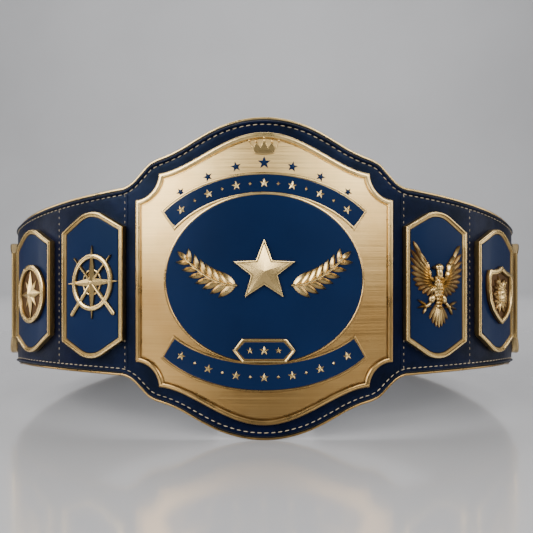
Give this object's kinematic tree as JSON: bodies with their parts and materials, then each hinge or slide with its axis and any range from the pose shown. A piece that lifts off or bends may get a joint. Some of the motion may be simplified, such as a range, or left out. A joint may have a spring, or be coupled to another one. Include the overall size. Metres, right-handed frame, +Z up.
{
  "type": "championship title belt",
  "caption": "Champion's title belt of navy leather with a lobed front, a gold and enamel main plate, arched side plates and a snap closure.",
  "frame": {"origin": "on the floor, under the middle of the belt's box", "axes": "+X to the right as the main plate is seen, -Y out of the main plate's face, +Z up"},
  "size_m": [0.5268, 0.4048, 0.2576],
  "materials": {
    "gold": "brushed gold plate, polished edges",
    "navy_leather": "grained, semi-gloss",
    "black_leather": "smooth, matt",
    "navy_enamel": "gloss enamel"
  },
  "bodies": {
    "root": {"strap_front": "navy_leather", "strap_back": "black_leather", "gold_piping": "gold", "main_plate": "gold", "oval_enamel": "navy_enamel", "upper_banner_enamel": "navy_enamel", "lower_banner_enamel": "navy_enamel", "cartouche_frame": "gold", "cartouche_enamel": "navy_enamel", "centre_star": "gold", "laurel_right": "gold", "laurel_left": "gold", "first_plate_left": "gold", "first_enamel_left": "navy_enamel", "second_plate_left": "gold", "second_enamel_left": "navy_enamel", "third_plate_left": "gold", "third_enamel_left": "navy_enamel", "first_plate_right": "gold", "first_enamel_right": "navy_enamel", "second_plate_right": "gold", "second_enamel_right": "navy_enamel", "third_plate_right": "gold", "third_enamel_right": "navy_enamel", "wheel_emblem": "gold", "compass_emblem": "gold", "eagle_emblem": "gold", "shield_emblem": "gold", "lion_head": "gold", "snap_studs": "gold", "snap_sockets": "gold"}
  },
  "joints": []
}
